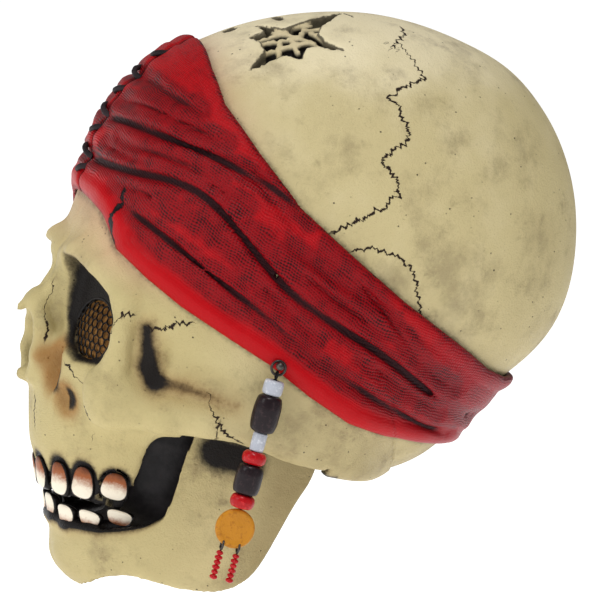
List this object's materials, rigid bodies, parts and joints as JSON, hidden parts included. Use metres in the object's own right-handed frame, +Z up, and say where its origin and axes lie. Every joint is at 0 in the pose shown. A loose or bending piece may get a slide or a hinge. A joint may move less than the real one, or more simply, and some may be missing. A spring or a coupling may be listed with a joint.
{
  "type": "latex halloween mask",
  "caption": "Overhead latex mask of a bone-coloured pirate skull with a red cast bandana, a hinged toothed jaw, mesh-screened eyes and a hanging bead charm.",
  "frame": {"origin": "midway between the wearer's ear canals, inside the head cavity", "axes": "-Y out of the face, +X towards the mask's own left (the side with the charm), +Z up through the crown"},
  "size_m": [0.1908, 0.2456, 0.2885],
  "materials": {
    "bone_latex": "painted latex, satin, airbrushed brown and black in the hollows",
    "red_latex": "painted latex with a cloth grain, black wash in the folds",
    "ivory_latex": "painted latex, rust brown at the gum",
    "black_lining": "smooth black latex",
    "black_mesh": "open diamond mesh cloth",
    "black_nylon": "moulded",
    "dark_metal": "blackened wire",
    "dark_thread": "waxed cord",
    "white_bead": "gloss",
    "dark_bead": "dark stained, polished",
    "red_bead": "gloss",
    "ochre_bead": "gloss"
  },
  "bodies": {
    "mask": {"skull_skin": "bone_latex", "bandana_wrap": "red_latex", "bandana_knot": "red_latex", "bandana_tail_upper": "red_latex", "bandana_tail_lower": "red_latex", "bandana_stitches": "dark_thread", "mouth_liner": "black_lining", "upper_teeth": "ivory_latex", "left_eye_screen": "black_mesh", "right_eye_screen": "black_mesh", "left_jaw_pivot": "black_nylon", "right_jaw_pivot": "black_nylon", "charm_eyelet": "dark_metal"},
    "jaw": {"jaw_skin": "bone_latex", "lower_teeth": "ivory_latex"},
    "charm_link": {"charm_loop": "dark_metal"},
    "charm": {"charm_cord": "dark_thread", "charm_top_bead": "white_bead", "charm_upper_barrel": "dark_bead", "charm_tube_bead": "white_bead", "charm_upper_ring": "red_bead", "charm_lower_barrel": "dark_bead", "charm_lower_ring": "red_bead", "charm_coin": "ochre_bead"},
    "drop_front": {"front_drop_ring": "dark_metal", "front_drop": "red_bead"},
    "drop_rear": {"rear_drop_ring": "dark_metal", "rear_drop": "red_bead"}
  },
  "joints": [
    {"name": "jaw_open", "type": "hinge", "parent": "mask", "child": "jaw", "pos_m": [0, -0.005, -0.005], "axis": [1, 0, 0], "range_deg": [0, 12], "stiffness_Nm_per_rad": 0.6, "springref_deg": -14.32},
    {"name": "charm_swing", "type": "hinge", "parent": "mask", "child": "charm_link", "pos_m": [0.0905, -0.026, 0.0315], "axis": [1, 0, 0], "range_deg": [-20, 20]},
    {"name": "charm_lift", "type": "hinge", "parent": "charm_link", "child": "charm", "pos_m": [0.0905, -0.026, 0.0271], "axis": [0, -1, 0], "range_deg": [0, 40]},
    {"name": "front_drop_swing", "type": "hinge", "parent": "charm", "child": "drop_front", "pos_m": [0.0905, -0.0298, -0.0508], "axis": [1, 0, 0], "range_deg": [-25, 2]},
    {"name": "rear_drop_swing", "type": "hinge", "parent": "charm", "child": "drop_rear", "pos_m": [0.0905, -0.0222, -0.0508], "axis": [1, 0, 0], "range_deg": [-2, 25]}
  ]
}
